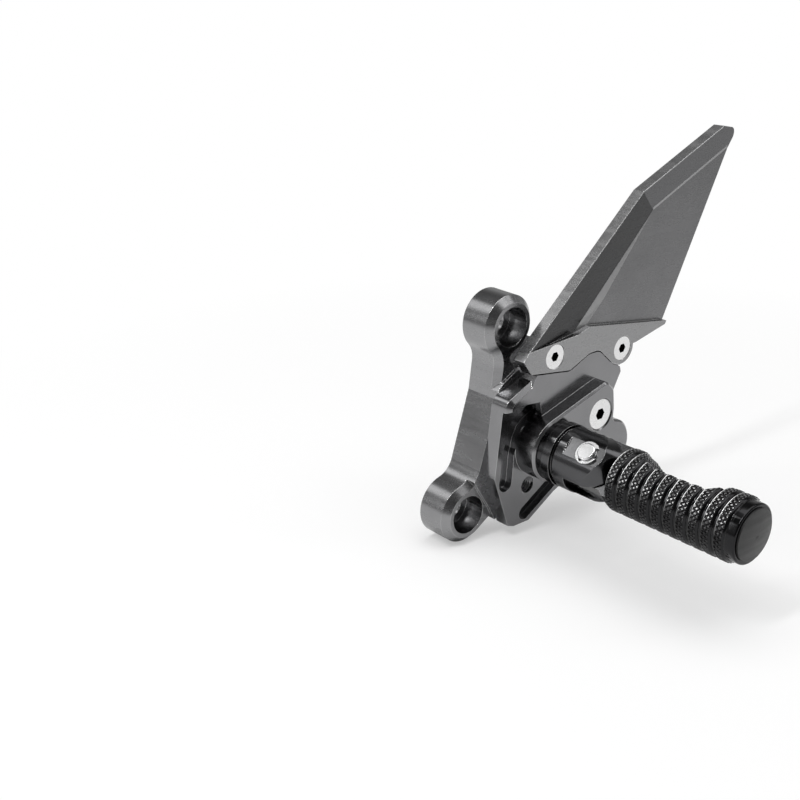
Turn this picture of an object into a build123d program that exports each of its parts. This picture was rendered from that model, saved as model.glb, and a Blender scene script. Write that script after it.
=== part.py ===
from build123d import *
import os
from math import acos, atan2, cos, degrees, hypot, radians, sin, sqrt

os.makedirs("parts", exist_ok=True)

# A folding footrest on its adjustable carrier, for the left side of a motorcycle.
# +X points to the rear of the machine, +Z up and -Y outboard, towards the rider's foot.
# The origin is on the axis of the lower frame bolt, on the bracket's mounting face.
# A height is measured outboard from that face, and a point is (X, Z).

# Fits
running_fit = 0.05
seat_gap = 0.1

# Frame bolts and the lobes around them
bolt_offset_x = 24.0
bolt_offset_z = 83.0
lobe_radius = 14.0
lobe_height = 16.5
frame_bolt_radius = 5.25
frame_counterbore_radius = 9.0
frame_counterbore_depth = 10.5
rim_chamfer = 3.0

# Bracket web and the pad that the carrier lies on
pad_rise = 1.5
web_recess = 6.5
neck_fillet = 10.0
shoulder_fillet = 2.6
web_corner = 6.0
adjuster_pitch = 12.0
adjuster_slope = 30.0
adjuster_chamfer = 0.6

# Carrier plate, its upper facet and its boss
carrier_thickness = 7.0
facet_rise = 3.5
boss_rise = 7.5
boss_wall = 1.5
boss_lobe_radius = 12.3
boss_edge = 1.0
boss_corner = 3.5
carrier_corner = 5.0
facet_chamfer = 2.0
groove_width = 8.0
groove_depth = 3.5
pivot_thread_radius = 4.0

# Heel guard
guard_thickness = 5.5
guard_web_depth = 2.5
guard_gap = 0.6
guard_ear_radius = 7.6

# Footrest axis, where it crosses the mounting face, and its hinge
peg_x = 35.0
peg_z = 28.0
pin_tilt = 48.0
pin_offset = 25.0
pin_radius = 4.0
pin_head_radius = 5.5
pin_head_thickness = 1.8
clip_radius = 5.4
clip_thickness = 0.9
clip_groove_depth = 0.9
clip_mouth = 4.6
clip_turn = -14.0
clip_relief_radius = 1.1
clip_relief_offset = 3.2
clip_relief_drop = 1.9
pin_tail = 1.2
pin_chamfer = 0.4

# Fork
spigot_radius = 8.0
spigot_depth = 15.0
collar_recess = 2.0
collar_stand = 3.4
barrel_radius = 14.2
flange_overhang = 0.2
flange_thickness = 4.4
collar_step = 0.7
neck_step = 1.4
neck_length = 2.0
ear_flat_width = 9.0
flat_offset = 3.8
nose_step = 1.6
nose_flat_radius = 8.0
slot_width = 13.5
slot_floor = 9.0
slot_relief_gap = 0.3

# Footrest
grip_offset = 13.6
tongue_radius = 8.8
tongue_rise = 12.7
tongue_drop = 10.8
tongue_flare = 4.0
tongue_corner = 3.5
washer_thickness = 0.5
side_play = 0.1
heel_gap = 0.25
bush_wall = 1.2
press_gap = 0.02
washer_radius = 8.0
grip_radius = 13.75
ring_count = 10
ring_pitch = 6.0
ring_groove_width = 1.0
ring_groove_depth = 0.9
ring_chamfer = 0.65
scoop_depth = 6.95
end_ring_length = 3.4
end_ring_radius = 12.9
end_ring_fillet = 0.8
cap_radius = 11.2
cap_stand = 0.8
cap_dome = 1.0
cap_spigot_radius = 7.0
cap_spigot_length = 6.0
scoop_lead = 5.0
scoop_entry = 9.0
scoop_floor_length = 29.0
scoop_exit = 7.0
scoop_floor_dip = 0.6

# Return spring, coiled round the pin in the tongue's far side
spring_wire = 1.2
spring_coil_radius = 6.6
spring_pitch = 1.3
spring_turns = 3
spring_room = 0.4
spring_leg = 9.5
spring_depth = 5.4

# Screws, as shank radius, head radius, head height and socket across flats
guard_screw_size = (3.0, 5.75, 4.0)
guard_screw_length = 11.0
carrier_screw_size = (4.0, 7.3, 5.0)
carrier_screw_length = 28.0
screw_sink = 0.6
mount_bolt_radius = 4.0
mount_bolt_head_radius = 6.5
mount_bolt_head_height = 5.0
mount_bolt_socket = 5.0
mount_washer_radius = 7.5
mount_washer_thickness = 1.2
mount_bolt_engagement = 13.0
clocking_pin_radius = 1.25
clocking_pin_depth = 2.5
clocking_pin_offset = 11.0

# Heights that follow from the sizes above
pad_height = lobe_height + pad_rise
plate_top = pad_height + carrier_thickness
facet_top = plate_top + facet_rise
boss_top = facet_top + boss_rise
guard_back = facet_top - guard_thickness
guard_web_top = facet_top - guard_web_depth
collar_seat = boss_top - collar_recess
collar_top = boss_top + collar_stand
flange_top = collar_top + flange_thickness
barrel_base = flange_top + neck_length
pin_height = boss_top + pin_offset
grip_start = pin_height + grip_offset
grip_end = grip_start + ring_count * ring_pitch
peg_end = grip_end + end_ring_length
flat_base = barrel_base + flat_offset
flange_radius = barrel_radius + flange_overhang
collar_radius = barrel_radius - collar_step
neck_radius = barrel_radius - neck_step
nose_radius = barrel_radius - nose_step
boss_radius = collar_radius + boss_wall
slot_relief = hypot(tongue_rise, tongue_corner) + slot_relief_gap
tongue_half = slot_width / 2 - washer_thickness - side_play
tongue_base = pin_height - slot_floor + heel_gap
bush_radius = pin_radius + running_fit + bush_wall

# Directions of the hinge: the pin points forward and up, the fold goes up and to the rear
tilt_sine = sin(radians(pin_tilt))
tilt_cosine = cos(radians(pin_tilt))
ear_flat_distance = sqrt(barrel_radius**2 - (ear_flat_width / 2) ** 2)
hinge_plane = Plane(
    origin=(peg_x, 0, peg_z),
    x_dir=(tilt_sine, 0, tilt_cosine),
    z_dir=(tilt_cosine, 0, -tilt_sine),
)

# Points of the bracket
lower_bolt = (0.0, 0.0)
upper_bolt = (bolt_offset_x, bolt_offset_z)
peg_point = (peg_x, peg_z)
neck_front = (bolt_offset_x - 6.6, bolt_offset_z - 8.0)
neck_rear = (bolt_offset_x + 2.0, bolt_offset_z - 20.2)
web_shoulder = (42.0, 73.0)
waist = (14.5, 52.0)
wall_foot = (2.4, 13.0)
web_bottom = (24.0, -2.0)
tangent_angle = atan2(web_bottom[1], web_bottom[0]) - acos(lobe_radius / hypot(*web_bottom))
lobe_tangent = (lobe_radius * cos(tangent_angle), lobe_radius * sin(tangent_angle))
web_rear_low = (80.0, 25.0)
web_rear_high = (82.0, 47.0)
web_top = (62.0, 58.0)

# Adjusting holes: a plain row for the footrest bolt, a threaded row for the carrier screw
adjuster_step = (
    adjuster_pitch * cos(radians(adjuster_slope)),
    adjuster_pitch * sin(radians(adjuster_slope)),
)
carrier_screw_point = (peg_x + 29.0, peg_z + 9.0)

# Lower edge of the heel guard, which the top of the carrier follows
tab_line = [(24.4, 64.3), (49.8, 60.1), (62.5, 65.2), (69.0, 65.0), (78.8, 56.3), (84.5, 53.8)]
tab_fillet = 5.0
front_guard_screw = (39.2, 69.0)
rear_guard_screw = (85.4, 61.8)
pivot_point = (28.7, 8.8)


def level(height):
    """Plane at a height above the mounting face, with X to the right and Z up."""
    return Plane.XZ.offset(height)


def hinge_level(distance):
    """Plane across the pin, at a distance towards the pin's head."""
    return hinge_plane.offset(distance)


def shifted(points, x, z):
    """The same points, moved."""
    return [(point[0] + x, point[1] + z) for point in points]


def rim_limit(z):
    """Greatest X of the edges that carry the rim chamfer, at a height Z on the bracket."""
    return bolt_offset_x + lobe_radius + 1 if z > neck_rear[1] else waist[0] + 3


def row(centre):
    """Three points of an adjusting row about its centre."""
    return [(centre[0] + step * adjuster_step[0], centre[1] + step * adjuster_step[1]) for step in (-1, 0, 1)]


def slot_between(start, end, width):
    """A round-ended slot between two points, in the current sketch."""
    run = Vector(end[0] - start[0], end[1] - start[1])
    middle = ((start[0] + end[0]) / 2, (start[1] + end[1]) / 2)
    angle = Vector(1, 0).get_signed_angle(run, Vector(0, 0, 1))
    with Locations(middle):
        SlotCenterToCenter(run.length, width, rotation=angle)


# Frame bracket
with BuildPart() as frame_bracket:
    with BuildSketch(level(0)) as bracket_outline:
        with BuildLine():
            Polyline(
                neck_front,
                waist,
                wall_foot,
                (0, 0),
                lobe_tangent,
                web_bottom,
                web_rear_low,
                web_rear_high,
                web_top,
                web_shoulder,
                neck_rear,
                (neck_rear[0], bolt_offset_z - 8),
                close=True,
            )
        make_face()
        fillet(bracket_outline.vertices().group_by(Axis.X)[-1], web_corner)
        with Locations(lower_bolt, upper_bolt):
            Circle(lobe_radius)
        neck_corners = [
            ((neck_front[0] - 0.4, bolt_offset_z - 12.2), neck_fillet),
            ((2.7, 13.8), neck_fillet),
            (neck_rear, shoulder_fillet),
            ((neck_rear[0], bolt_offset_z - lobe_radius), shoulder_fillet / 2),
        ]
        for corner, radius in neck_corners:
            fillet(bracket_outline.vertices().sort_by_distance(corner)[0], radius)
    extrude(amount=lobe_height)
    outer_face = frame_bracket.faces().sort_by(Axis.Y)[0]
    visible_rim = outer_face.edges().filter_by(lambda edge: edge.center().X < rim_limit(edge.center().Z))
    chamfer(visible_rim, rim_chamfer)
    # Raised pad, from the step under the neck to the ridge beside the lower lobe
    with BuildSketch(level(lobe_height - rim_chamfer)):
        add(bracket_outline.sketch_local)
        with BuildLine():
            Polyline(
                (waist[0] - rim_chamfer, waist[1]),
                (waist[0] + 3.3, waist[1] + 6.5),
                neck_rear,
                (neck_rear[0] + 10, neck_rear[1]),
                (web_rear_high[0] + 10, web_rear_high[1] + 10),
                (web_rear_high[0] + 10, web_bottom[1] - 10),
                (web_bottom[0] - 6, web_bottom[1] - 10),
                (lobe_radius * 0.79, 1),
                (lobe_radius * 0.4, 9.5),
                (wall_foot[0] - 2, wall_foot[1] + 5),
                (wall_foot[0] - 2, wall_foot[1] + 20),
                close=True,
            )
        make_face(mode=Mode.INTERSECT)
    extrude(amount=rim_chamfer + pad_rise)
    # Recess behind the web
    with BuildSketch(level(0)):
        with BuildLine():
            Polyline(
                (neck_rear[0] + 8, web_shoulder[1] + 2),
                (17, 22),
                (lobe_radius, -9),
                (web_rear_high[0] + 10, -9),
                (web_rear_high[0] + 10, web_shoulder[1] + 2),
                close=True,
            )
        make_face()
    extrude(amount=web_recess, mode=Mode.SUBTRACT)
    with Locations(level(lobe_height)):
        with Locations(lower_bolt, upper_bolt):
            CounterBoreHole(frame_bolt_radius, frame_counterbore_radius, frame_counterbore_depth)
    with BuildSketch(level(0)):
        with Locations(*row(peg_point)):
            Circle(mount_bolt_radius + running_fit)
        with Locations(*row(carrier_screw_point)):
            Circle(carrier_screw_size[0] + running_fit)
    extrude(amount=pad_height, mode=Mode.SUBTRACT)

frame_bracket.part.label = "frame_bracket"
export_step(frame_bracket.part, "parts/frame_bracket.step")


# Carrier plate
corner_on_tab = 28.0
carrier_line = shifted(tab_line, 0, -guard_gap)
tab_slope = (carrier_line[1][1] - carrier_line[0][1]) / (carrier_line[1][0] - carrier_line[0][0])
carrier_line[0] = (corner_on_tab, carrier_line[0][1] + tab_slope * (corner_on_tab - carrier_line[0][0]))
facet_front = [(26.5, 60.4), (11.6, 53.8)]
side_foot = (7.4, 18.0)
keel_front = (30.5, -9.8)
keel_rear = (46.7, -0.4)
side_share = 4.6 / (facet_front[1][1] - side_foot[1])
facet_step = (
    facet_front[1][0] - side_share * (facet_front[1][0] - side_foot[0]),
    facet_front[1][1] - side_share * (facet_front[1][1] - side_foot[1]),
)
ear_side = [(85.4, 50.5), (81.0, 42.5)]
boss_lobe = (peg_x + 38.0, peg_z - 9.0)
ridge_normal = (cos(radians(105)), sin(radians(105)))
ridge_start = (peg_x + boss_radius * ridge_normal[0], peg_z + boss_radius * ridge_normal[1])
ridge_end = (ridge_start[0] + 37.6 * ridge_normal[1], ridge_start[1] - 37.6 * ridge_normal[0])
boss_shoulder = (ridge_end[0] + 5.1, ridge_end[1] - 4.7)
boss_waist = (boss_lobe[0] + 0.8, boss_lobe[1] + 19.0)

with BuildPart() as carrier_plate:
    with BuildSketch(level(pad_height)) as carrier_outline:
        with BuildLine():
            FilletPolyline(*carrier_line, radius=tab_fillet)
            Polyline(
                carrier_line[-1],
                *ear_side,
                (79.5, 33.0),
                (85.0, 22.0),
                (84.0, 14.0),
                keel_rear,
                keel_front,
                (20.6, -9.6),
                (16.8, -8.2),
                side_foot,
                facet_front[1],
                facet_front[0],
                carrier_line[0],
            )
        make_face()
        fillet(carrier_outline.vertices().sort_by_distance(facet_front[1])[0], carrier_corner)
    extrude(amount=carrier_thickness)
    # Groove along the front of the boss, and the one along the lower edge
    with BuildSketch(level(plate_top)):
        slot_between((14.3, 14.0), (15.2, 27.5), groove_width)
        slot_between((15.2, 27.5), (20.0, 41.0), groove_width)
        slot_between((20.0, 41.0), (31.0, 47.0), groove_width)
        slot_between((27.5, -4.9), (45.5, 5.5), groove_width - 1)
    extrude(amount=-groove_depth, mode=Mode.SUBTRACT)
    # Seat of the heel guard
    with BuildSketch(level(pad_height)):
        with BuildLine():
            Polyline(
                (29.5, 58.0),
                (32.0, 71.0),
                (44.0, 75.5),
                (84.0, 69.0),
                (91.0, 65.0),
                (91.5, 58.5),
                (90.2, 49.5),
                (84.5, 47.5),
                close=True,
            )
        make_face()
    extrude(amount=guard_back - pad_height)
    # Upper facet
    with BuildSketch(level(plate_top)) as facet_outline:
        with BuildLine():
            FilletPolyline(*carrier_line, radius=tab_fillet)
            Polyline(
                carrier_line[-1],
                *ear_side,
                (79.5, 34.0),
                peg_point,
                (31.0, 49.8),
                (18.0, 51.4),
                facet_step,
                facet_front[1],
                facet_front[0],
                carrier_line[0],
            )
        make_face()
        fillet(facet_outline.vertices().sort_by_distance(facet_front[1])[0], carrier_corner)
    extrude(amount=facet_rise)
    facet_rim = carrier_plate.faces().sort_by(Axis.Y)[0].edges()
    facet_middle = (
        (facet_front[0][0] + facet_front[1][0]) / 2,
        -facet_top,
        (facet_front[0][1] + facet_front[1][1]) / 2,
    )
    facet_corner = (facet_front[1][0], -facet_top, facet_front[1][1])
    chamfer(
        [facet_rim.sort_by_distance(facet_middle)[0], facet_rim.sort_by_distance(facet_corner)[0]],
        facet_chamfer,
    )
    # Boss
    with BuildSketch(level(plate_top - groove_depth)) as boss_outline:
        with Locations(peg_point):
            Circle(boss_radius)
        with Locations(boss_lobe):
            Circle(boss_lobe_radius)
        make_hull()
        with BuildLine():
            Polyline(ridge_start, ridge_end, boss_shoulder, boss_waist, boss_lobe, peg_point, close=True)
        make_face()
        for corner, radius in [
            (ridge_end, boss_corner),
            (boss_shoulder, boss_corner),
            ((boss_lobe[0], boss_lobe[1] + boss_lobe_radius), boss_corner / 2),
        ]:
            fillet(boss_outline.vertices().sort_by_distance(corner)[0], radius)
    extrude(amount=boss_top - plate_top + groove_depth)
    chamfer(carrier_plate.faces().sort_by(Axis.Y)[0].edges(), boss_edge)
    # Bores
    with BuildSketch(level(boss_top)):
        with Locations(peg_point):
            Circle(collar_radius + running_fit)
    extrude(amount=-collar_recess, mode=Mode.SUBTRACT)
    with BuildSketch(level(pad_height)):
        with Locations(peg_point):
            Circle(spigot_radius + running_fit)
        with Locations(pivot_point):
            Circle(pivot_thread_radius)
        with Locations(front_guard_screw, rear_guard_screw):
            Circle(guard_screw_size[0] + running_fit)
    extrude(amount=boss_top - pad_height, mode=Mode.SUBTRACT)
    with Locations(level(boss_top)):
        with Locations(carrier_screw_point):
            CounterSinkHole(
                carrier_screw_size[0] + running_fit,
                carrier_screw_size[1] + screw_sink + running_fit,
                counter_sink_angle=90,
            )
    clocking_point = (
        peg_x - clocking_pin_offset * tilt_sine,
        peg_z - clocking_pin_offset * tilt_cosine,
    )
    with BuildSketch(level(collar_seat)):
        with Locations(clocking_point):
            Circle(clocking_pin_radius + running_fit)
    extrude(amount=-clocking_pin_depth - seat_gap, mode=Mode.SUBTRACT)

carrier_plate.part.label = "carrier_plate"
export_step(carrier_plate.part, "parts/carrier_plate.step")

# Heel guard
guard_heel = (22.2, 74.6)
guard_knee = (92.2, 134.0)
guard_tip = (148.0, 156.2)
guard_corner = (161.0, 153.8)
guard_tail = (116.2, 66.6)
knee_crease = (103.3, 123.5)
low_crease = (61.5, 77.9)


def bevel_plane(start, end, crease):
    """Plane that falls from an edge of the guard to the web's depth at a crease point."""
    run = Vector(end[0] - start[0], 0, end[1] - start[1]).normalized()
    inward = Vector(run.Z, 0, -run.X)
    width = inward.dot(Vector(crease[0] - start[0], 0, crease[1] - start[1]))
    normal = inward * guard_web_depth + Vector(0, -width, 0)
    return Plane(origin=(start[0], -facet_top, start[1]), x_dir=run, z_dir=normal)


def bevel_cut(outline, plane):
    """What a sloping cut takes off the guard inside an outline."""
    with BuildPart() as cut:
        with BuildSketch(level(guard_back)):
            with BuildLine():
                Polyline(*outline, close=True)
            make_face()
        extrude(amount=guard_thickness + 1)
        with BuildSketch(plane):
            Rectangle(4 * bolt_offset_z, 4 * bolt_offset_z)
        extrude(amount=2 * guard_thickness, mode=Mode.INTERSECT)
    return cut.part


front_bevel = bevel_cut(
    [guard_heel, guard_knee, knee_crease, (72.3, 87.7), low_crease, (53.6, 75.7)],
    bevel_plane(guard_heel, guard_knee, knee_crease),
)
top_bevel = bevel_cut(
    [guard_knee, guard_tip, (170.0, 165.0), (170.0, 150.5), knee_crease],
    bevel_plane(guard_knee, guard_tip, knee_crease),
)

with BuildPart() as heel_guard:
    with BuildSketch(level(guard_back)) as guard_outline:
        with BuildLine():
            FilletPolyline(*tab_line, radius=tab_fillet)
            Polyline(
                tab_line[-1],
                rear_guard_screw,
                (95.2, 62.6),
                guard_tail,
                guard_corner,
                guard_tip,
                guard_knee,
                guard_heel,
                (19.4, 71.2),
                tab_line[0],
            )
        make_face()
        with Locations(rear_guard_screw):
            Circle(guard_ear_radius)
        fillet(guard_outline.vertices().sort_by_distance(guard_corner)[0], 4)
    extrude(amount=guard_thickness)
    with BuildSketch(level(guard_web_top)):
        with BuildLine():
            Polyline(
                low_crease,
                (72.3, 87.7),
                knee_crease,
                (170.0, 150.5),
                (175.0, 120.0),
                (guard_tail[0] + 8, guard_tail[1] + 0.4),
                close=True,
            )
        make_face()
    extrude(amount=guard_web_depth, mode=Mode.SUBTRACT)
    add(front_bevel, mode=Mode.SUBTRACT)
    add(top_bevel, mode=Mode.SUBTRACT)
    with Locations(level(facet_top)):
        with Locations(front_guard_screw, rear_guard_screw):
            CounterSinkHole(
                guard_screw_size[0] + running_fit,
                guard_screw_size[1] + 0.2 + running_fit,
                counter_sink_angle=90,
            )

heel_guard.part.label = "heel_guard"
export_step(heel_guard.part, "parts/heel_guard.step")


# Countersunk screws
def countersunk_screw(point, top, size, length):
    """A flat-headed socket screw with its head's face at a height."""
    shank_radius, head_radius, socket = size
    with BuildPart() as screw:
        with BuildSketch(level(top)):
            with Locations(point):
                Circle(head_radius)
        extrude(amount=shank_radius - head_radius, taper=45)
        with BuildSketch(level(top)):
            with Locations(point):
                Circle(shank_radius)
        extrude(amount=-length)
        with BuildSketch(level(top)):
            with Locations(point):
                RegularPolygon(socket / 2, 6, major_radius=False)
        extrude(amount=-socket * 0.6, mode=Mode.SUBTRACT)
    return screw.part


screws = {
    "guard_screw_front": countersunk_screw(front_guard_screw, facet_top - 0.2, guard_screw_size, guard_screw_length),
    "guard_screw_rear": countersunk_screw(rear_guard_screw, facet_top - 0.2, guard_screw_size, guard_screw_length),
    "carrier_screw": countersunk_screw(
        carrier_screw_point, boss_top - screw_sink, carrier_screw_size, carrier_screw_length
    ),
}
for name, screw in screws.items():
    screw.label = name
    export_step(screw, f"parts/{name}.step")

# Collar between the boss and the fork
with BuildPart() as mount_collar:
    with BuildSketch(level(collar_seat)):
        with Locations(peg_point):
            Circle(collar_radius)
            Circle(spigot_radius + running_fit, mode=Mode.SUBTRACT)
        with Locations(clocking_point):
            Circle(clocking_pin_radius + running_fit, mode=Mode.SUBTRACT)
    extrude(amount=collar_top - collar_seat)
    chamfer(mount_collar.faces().sort_by(Axis.Y)[0].outer_wire().edges(), 0.6)

mount_collar.part.label = "mount_collar"
export_step(mount_collar.part, "parts/mount_collar.step")

# Fork that carries the footrest
spigot_base = collar_seat - spigot_depth
slot_half = slot_width / 2
nose_top = pin_height + nose_radius
nose_slope = (nose_radius - nose_flat_radius) / (ear_flat_distance - slot_half)
nose_end_radius = nose_radius - nose_slope * (barrel_radius - slot_half)
pin_centre = hinge_plane.from_local_coords((0, pin_height, 0))
nose_plane = Plane(origin=pin_centre, x_dir=hinge_plane.z_dir, z_dir=hinge_plane.x_dir)

# Nose turned about the pin, coned outside the slot, and the straight block below it
with BuildPart() as nose_form:
    with BuildSketch(nose_plane):
        with BuildLine():
            Polyline(
                (-barrel_radius, 0),
                (-barrel_radius, nose_end_radius),
                (-slot_half, nose_radius),
                (slot_half, nose_radius),
                (barrel_radius, nose_end_radius),
                (barrel_radius, 0),
                close=True,
            )
        make_face()
    revolve(axis=Axis(pin_centre, hinge_plane.z_dir))
    with BuildSketch(hinge_plane):
        with Locations((0, (spigot_base + pin_height) / 2)):
            Rectangle(4 * barrel_radius, pin_height - spigot_base)
    extrude(amount=2 * barrel_radius, both=True)

# Slot, with its floor under the heel and a deeper side that the tongue folds into
with BuildPart() as slot_form:
    with BuildSketch(hinge_plane):
        with Locations((-barrel_radius, pin_height - slot_floor + barrel_radius)):
            Rectangle(2 * barrel_radius, 2 * barrel_radius)
        with Locations((barrel_radius, pin_height - slot_relief + barrel_radius)):
            Rectangle(2 * barrel_radius, 2 * barrel_radius)
    extrude(amount=slot_half, both=True)

with BuildPart() as peg_mount:
    for base, top, radius in [
        (spigot_base, collar_top, spigot_radius),
        (collar_top, flange_top, flange_radius),
        (flange_top, barrel_base, neck_radius),
        (barrel_base, nose_top, barrel_radius),
    ]:
        with BuildSketch(level(base)):
            with Locations(peg_point):
                Circle(radius)
        extrude(amount=top - base)
    add(nose_form.part, mode=Mode.INTERSECT)
    for side in (-1, 1):
        with BuildSketch(hinge_level(side * ear_flat_distance)):
            with Locations((0, flat_base + barrel_radius)):
                Rectangle(4 * barrel_radius, 2 * barrel_radius)
        extrude(amount=side * barrel_radius, mode=Mode.SUBTRACT)
    add(slot_form.part, mode=Mode.SUBTRACT)
    with BuildSketch(hinge_plane):
        with Locations((0, pin_height)):
            Circle(pin_radius + running_fit)
    extrude(amount=2 * barrel_radius, both=True, mode=Mode.SUBTRACT)
    with BuildSketch(level(spigot_base)):
        with Locations(peg_point):
            Circle(mount_bolt_radius + running_fit)
    extrude(amount=mount_bolt_engagement + 1, mode=Mode.SUBTRACT)
    with BuildSketch(level(collar_top)):
        with Locations(clocking_point):
            Circle(clocking_pin_radius + running_fit)
    extrude(amount=clocking_pin_depth + seat_gap, mode=Mode.SUBTRACT)

peg_mount.part.label = "peg_mount"
export_step(peg_mount.part, "parts/peg_mount.step")

# Dowel that keeps the fork from turning
with BuildPart() as clocking_pin:
    with BuildSketch(level(collar_seat - clocking_pin_depth)):
        with Locations(clocking_point):
            Circle(clocking_pin_radius)
    extrude(amount=collar_top - collar_seat + 2 * clocking_pin_depth)

clocking_pin.part.label = "clocking_pin"
export_step(clocking_pin.part, "parts/clocking_pin.step")

# Bolt and washer that hold the fork from the inboard side
with BuildPart() as peg_mount_washer:
    with BuildSketch(level(web_recess)):
        with Locations(peg_point):
            Circle(mount_washer_radius)
            Circle(mount_bolt_radius + running_fit, mode=Mode.SUBTRACT)
    extrude(amount=-mount_washer_thickness)

peg_mount_washer.part.label = "peg_mount_washer"
export_step(peg_mount_washer.part, "parts/peg_mount_washer.step")

head_base = web_recess - mount_washer_thickness
with BuildPart() as peg_mount_bolt:
    with BuildSketch(level(head_base)):
        with Locations(peg_point):
            Circle(mount_bolt_head_radius)
    extrude(amount=-mount_bolt_head_height)
    chamfer(peg_mount_bolt.faces().sort_by(Axis.Y)[-1].edges(), 0.6)
    with BuildSketch(level(head_base)):
        with Locations(peg_point):
            Circle(mount_bolt_radius)
    extrude(amount=spigot_base + mount_bolt_engagement - head_base)
    with BuildSketch(level(head_base - mount_bolt_head_height)):
        with Locations(peg_point):
            RegularPolygon(mount_bolt_socket / 2, 6, major_radius=False)
    extrude(amount=mount_bolt_head_height * 0.6, mode=Mode.SUBTRACT)

peg_mount_bolt.part.label = "peg_mount_bolt"
export_step(peg_mount_bolt.part, "parts/peg_mount_bolt.step")

# Hinge pin, with its head on the far side and the clip's groove on the near side
clip_inner = ear_flat_distance + running_fit
clip_outer = clip_inner + clip_thickness
with BuildPart() as hinge_pin:
    with BuildSketch(hinge_level(ear_flat_distance)):
        with Locations((0, pin_height)):
            Circle(pin_head_radius)
    extrude(amount=pin_head_thickness)
    with BuildSketch(hinge_level(ear_flat_distance)):
        with Locations((0, pin_height)):
            Circle(pin_radius)
    extrude(amount=-ear_flat_distance - clip_outer - pin_tail)
    with BuildSketch(hinge_level(-clip_outer - running_fit)):
        with Locations((0, pin_height)):
            Circle(pin_radius + 1)
            Circle(pin_radius - clip_groove_depth, mode=Mode.SUBTRACT)
    extrude(amount=clip_thickness + 2 * running_fit, mode=Mode.SUBTRACT)

    pin_ends = hinge_pin.faces().sort_by(Axis((0, 0, 0), hinge_plane.z_dir))
    chamfer(pin_ends[0].edges() + pin_ends[-1].edges(), pin_chamfer)

hinge_pin.part.label = "hinge_pin"
export_step(hinge_pin.part, "parts/hinge_pin.step")

# Clip that holds the pin
with BuildPart() as hinge_clip:
    with BuildSketch(hinge_level(-clip_outer)):
        with Locations((0, pin_height)):
            Circle(clip_radius)
            Circle(pin_radius - clip_groove_depth + running_fit, mode=Mode.SUBTRACT)
        with Locations(Location((0, pin_height, 0), (0, 0, clip_turn))):
            with Locations((0, clip_radius)):
                Rectangle(clip_mouth, 2 * clip_radius, mode=Mode.SUBTRACT)
            with Locations((-clip_relief_offset, -clip_relief_drop), (clip_relief_offset, -clip_relief_drop)):
                Circle(clip_relief_radius, mode=Mode.SUBTRACT)
    extrude(amount=clip_thickness)

hinge_clip.part.label = "hinge_clip"
export_step(hinge_clip.part, "parts/hinge_clip.step")

# Footrest body
footrest_plane = Plane(origin=(peg_x, 0, peg_z), x_dir=(0, 1, 0), z_dir=(1, 0, 0))
scoop_start = grip_start + scoop_lead + scoop_entry
scoop_finish = scoop_start + scoop_floor_length
scoop_ends = grip_radius - scoop_depth + scoop_floor_dip
scoop_climb = scoop_depth - scoop_floor_dip
scoop_overshoot = (2 * grip_radius - scoop_ends) / scoop_climb
groove_overrun = 3


def scoop_height(height):
    """Distance of the scooped surface from the footrest's axis, at a height."""
    if height < scoop_start:
        return scoop_ends + scoop_climb * (scoop_start - height) / scoop_entry
    if height > scoop_finish:
        return scoop_ends + scoop_climb * (height - scoop_finish) / scoop_exit
    middle = (scoop_start + scoop_finish) / 2
    return scoop_ends - scoop_floor_dip * (1 - ((height - middle) / (middle - scoop_start)) ** 2)


def scoop_groove(base):
    """Outline of the groove across the scoop before a ring that starts at a height."""
    half = ring_groove_width / 2
    middle = base - half
    slope = atan2(scoop_height(base) - scoop_height(base - ring_groove_width), ring_groove_width)
    mouth = half + groove_overrun * ring_chamfer
    section = [
        (-mouth, (groove_overrun - 1) * ring_chamfer),
        (-half, -ring_chamfer),
        (-half, -ring_groove_depth),
        (half, -ring_groove_depth),
        (half, -ring_chamfer),
        (mouth, (groove_overrun - 1) * ring_chamfer),
    ]
    return [
        (
            -middle - along * cos(slope) + across * sin(slope),
            scoop_height(middle) + along * sin(slope) + across * cos(slope),
        )
        for along, across in section
    ]


ring_bases = [grip_start + ring * ring_pitch for ring in range(ring_count)]
grip_outline = [(0, -grip_start)]
for base in ring_bases:
    top = base + ring_pitch - ring_groove_width
    grip_outline += [
        (grip_radius - ring_chamfer, -base),
        (grip_radius, -base - ring_chamfer),
        (grip_radius, -top + ring_chamfer),
        (grip_radius - ring_chamfer, -top),
        (grip_radius - ring_groove_depth, -top),
        (grip_radius - ring_groove_depth, -top - ring_groove_width),
    ]
grip_outline += [(end_ring_radius, -grip_end), (end_ring_radius, -peg_end), (0, -peg_end)]
axial_plane = Plane(origin=(peg_x, 0, peg_z), x_dir=(1, 0, 0), z_dir=(0, 0, 1))

# Tongue: level with the grip on its upper side, with a square heel at the slot's floor
with BuildPart() as tongue:
    with BuildSketch(hinge_plane) as tongue_outline:
        with Locations((0, pin_height)):
            Circle(tongue_radius)
        with BuildLine():
            Polyline(
                (tongue_rise, pin_height),
                (tongue_rise, grip_start + 1),
                (-grip_radius, grip_start + 1),
                (-grip_radius, grip_start),
                (-tongue_drop, grip_start - tongue_flare),
                (-tongue_drop, tongue_base),
                (0, tongue_base),
                (0, pin_height),
                close=True,
            )
        make_face()
        fillet(tongue_outline.vertices().sort_by_distance((tongue_rise, pin_height))[0], tongue_corner)
    extrude(amount=tongue_half, both=True)
    with BuildSketch(level(grip_start + 1)):
        with Locations(peg_point):
            Circle(grip_radius)
    extrude(amount=-2 * grip_radius, mode=Mode.INTERSECT)

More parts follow.
